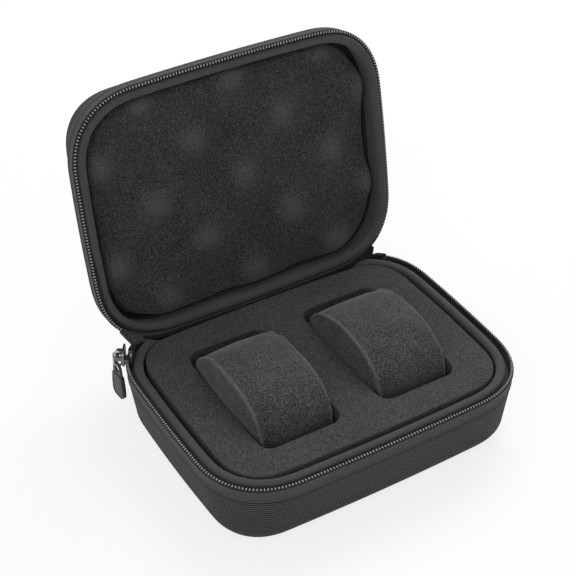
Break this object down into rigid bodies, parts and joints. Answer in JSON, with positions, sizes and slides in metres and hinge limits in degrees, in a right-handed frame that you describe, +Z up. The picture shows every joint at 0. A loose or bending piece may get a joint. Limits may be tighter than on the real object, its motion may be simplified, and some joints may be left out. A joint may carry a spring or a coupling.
{
  "type": "watch travel case",
  "caption": "Zip-up moulded travel case for wrist watches, with a hinged lid, a slotted foam tray, lift-out pillows and a foam-padded lid.",
  "frame": {"origin": "centre of the flat underside of the base, where the case stands", "axes": "+Z up, +Y towards the cloth hinge, +X to the right seen from the front"},
  "size_m": [0.1597, 0.165, 0.1533],
  "materials": {
    "shell_fabric": "ribbed weave, matte",
    "moulded_foam": "closed-cell foam, matte",
    "lining_fabric": "short nap, matte",
    "zip_tape": "woven tape, matte",
    "zip_coil": "satin nylon",
    "rim_band": "ribbed band, matte",
    "hinge_cloth": "woven cloth, matte",
    "insert_foam": "smooth foam, matte",
    "velvet": "velvet",
    "filling": "soft filling",
    "egg_crate_foam": "open-cell foam, matte",
    "slider_metal": "gunmetal, satin",
    "link_wire": "satin",
    "pull_rubber": "matte"
  },
  "bodies": {
    "base": {"base_shell": "moulded_foam", "base_fabric": "shell_fabric", "base_lining": "lining_fabric", "base_zip_tape": "zip_tape", "base_zip_coil": "zip_coil", "base_rim_band": "rim_band", "hinge_strip": "hinge_cloth", "hinge_fold": "hinge_cloth", "gusset_left": "hinge_cloth", "gusset_right": "hinge_cloth", "zip_end_tab_left": "hinge_cloth", "zip_end_tab_right": "hinge_cloth", "foam_insert": "insert_foam", "insert_floor_pad": "insert_foam"},
    "lid": {"lid_shell": "moulded_foam", "lid_fabric": "shell_fabric", "lid_lining": "lining_fabric", "lid_zip_tape": "zip_tape", "lid_zip_coil": "zip_coil", "lid_rim_band": "rim_band", "lid_hinge_strip": "hinge_cloth", "egg_crate_pad": "egg_crate_foam"},
    "pillow_left": {"pillow_left_cover": "velvet", "pillow_left_core": "filling"},
    "pillow_right": {"pillow_right_cover": "velvet", "pillow_right_core": "filling"},
    "slider": {"slider_body": "slider_metal"},
    "link": {"pull_link": "link_wire"},
    "tab": {"pull_tab": "pull_rubber"}
  },
  "joints": [
    {"name": "lid_hinge", "type": "hinge", "parent": "base", "child": "lid", "pos_m": [0, 0.0559, 0.038], "axis": [-1, 0, 0], "range_deg": [-101.7, 0], "deforming": ["hinge_strip", "hinge_fold", "gusset_left", "gusset_right", "egg_crate_pad"]},
    {"name": "pillow_left_lift", "type": "slide", "parent": "base", "child": "pillow_left", "axis": [0, 0, 1], "range_m": [0, 0.045]},
    {"name": "pillow_right_lift", "type": "slide", "parent": "base", "child": "pillow_right", "axis": [0, 0, 1], "range_m": [0, 0.045]},
    {"name": "slider_travel", "type": "hinge", "parent": "base", "child": "slider", "pos_m": [-0.0465, 0.02981, 0.0375], "axis": [0, 0, 1], "range_deg": [0, 21.52]},
    {"name": "link_swing", "type": "hinge", "parent": "slider", "child": "link", "pos_m": [-0.07744, 0.04934, 0.0375], "axis": [0.5337, 0.8457, 0], "range_deg": [0, 110]},
    {"name": "tab_swing", "type": "hinge", "parent": "link", "child": "tab", "pos_m": [-0.07744, 0.04934, 0.0312], "axis": [-0.9992, 0.0394, 0], "range_deg": [-35, 33]}
  ]
}
